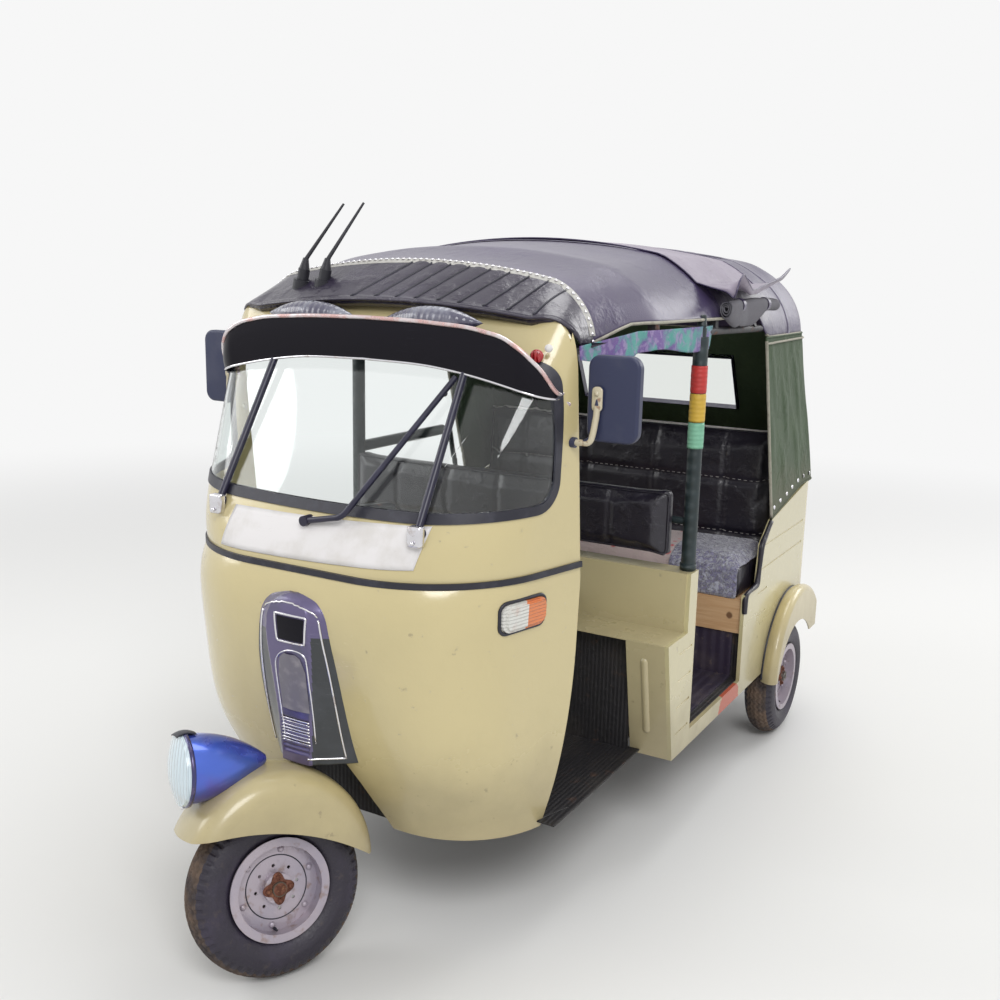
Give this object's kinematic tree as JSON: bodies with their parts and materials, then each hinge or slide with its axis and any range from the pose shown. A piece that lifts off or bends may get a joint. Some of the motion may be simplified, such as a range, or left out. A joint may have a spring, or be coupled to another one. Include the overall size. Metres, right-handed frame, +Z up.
{
  "type": "auto rickshaw",
  "caption": "Three-wheeled passenger taxi with an open cab, handlebar steering, a covered bench and a rear engine hatch.",
  "frame": {"origin": "on the ground, below the middle of the vehicle's bounding box", "axes": "+Z up, -Y forward, +X to the vehicle's left"},
  "size_m": [1.302, 2.5862, 1.7736],
  "materials": {
    "cream_paint": "gloss cream paint, dusty and lightly scratched",
    "purple_paint": "dark purple paint with chrome trim",
    "black_vinyl": "black grained vinyl with pale piping",
    "green_canvas": "dark green canvas",
    "clear_pane": "clear pane",
    "clear_glass": "clear window glass",
    "black_rubber": "matt black rubber",
    "tyre": "worn road tyre",
    "rim_paint": "silver-lavender wheel paint, rusty at the hub",
    "black_steel": "satin black paint over steel",
    "bare_steel": "greasy bare steel",
    "engine_metal": "dull cast metal",
    "black_plastic": "black moulded plastic",
    "lamp_housing": "blue-violet metallic paint",
    "lamp_lens": "fluted clear lens",
    "amber_lens": "amber and clear lens",
    "red_lens": "red lens",
    "seat_black": "black leatherette with white piping",
    "seat_cover": "grey-blue plush cover with pink dots",
    "orange_board": "varnished orange board",
    "dark_mat": "dark ribbed mat",
    "chrome": "chrome plate",
    "post_wrap": "dark wrap with red, yellow and mint bands"
  },
  "bodies": {
    "cab": {"nose_shell": "cream_paint", "windscreen_surround": "cream_paint", "windscreen_rubber": "black_rubber", "windscreen_glass": "clear_glass", "waist_bead": "black_rubber", "nose_grille": "purple_paint", "indicators": "amber_lens", "roof_peak": "black_vinyl", "roof_strap": "chrome", "canopy": "black_vinyl", "canopy_flap": "black_vinyl", "quarter_curtains": "green_canvas", "rear_curtain": "green_canvas", "rear_pane": "clear_pane", "rolled_curtains": "green_canvas", "sun_visor": "black_plastic", "roof_lamps": "amber_lens", "screen_bars": "chrome", "wiper": "black_steel", "aerials": "black_plastic", "mirrors": "black_plastic", "left_side_panel": "cream_paint", "right_side_panel": "cream_paint", "rear_panel": "cream_paint", "floor_pan": "black_steel", "wheel_well": "black_steel", "floor_mat": "dark_mat", "partition": "cream_paint", "rear_bulkhead": "cream_paint", "driver_seat": "seat_black", "driver_backrest": "seat_black", "side_posts": "post_wrap", "bench_board": "orange_board", "bench_cushion": "seat_cover", "bench_backrest": "seat_cover", "canopy_frame": "black_steel", "rear_fenders": "cream_paint", "chassis_frame": "black_steel", "engine": "engine_metal", "rear_axle": "bare_steel", "rear_dampers": "bare_steel", "tail_lamps": "red_lens", "rear_bumper": "chrome"},
    "steering": {"front_fork": "black_steel", "front_damper": "bare_steel", "front_mudguard": "cream_paint", "headlamp": "lamp_housing", "headlamp_lens": "lamp_lens", "handlebar": "black_steel"},
    "front_wheel": {"front_tyre": "tyre", "front_rim": "rim_paint"},
    "rear_left_wheel": {"rear_left_tyre": "tyre", "rear_left_rim": "rim_paint"},
    "rear_right_wheel": {"rear_right_tyre": "tyre", "rear_right_rim": "rim_paint"},
    "engine_hatch": {"engine_hatch": "cream_paint"}
  },
  "joints": [
    {"name": "steering_turn", "type": "hinge", "parent": "cab", "child": "steering", "pos_m": [0, -1.1019, 0.2045], "axis": [0, 0.4226, 0.9063], "range_deg": [-12, 72]},
    {"name": "front_wheel_spin", "type": "hinge", "parent": "steering", "child": "front_wheel", "pos_m": [0, -1.1019, 0.2045], "axis": [0.866, -0.4532, 0.2113], "continuous": true},
    {"name": "rear_left_wheel_spin", "type": "hinge", "parent": "cab", "child": "rear_left_wheel", "pos_m": [0.575, 0.8981, 0.208], "axis": [1, 0, 0], "continuous": true},
    {"name": "rear_right_wheel_spin", "type": "hinge", "parent": "cab", "child": "rear_right_wheel", "pos_m": [-0.575, 0.8981, 0.208], "axis": [1, 0, 0], "continuous": true},
    {"name": "engine_hatch_lift", "type": "hinge", "parent": "cab", "child": "engine_hatch", "pos_m": [0, 1.2321, 0.804], "axis": [1, 0, 0], "range_deg": [0, 70]}
  ]
}
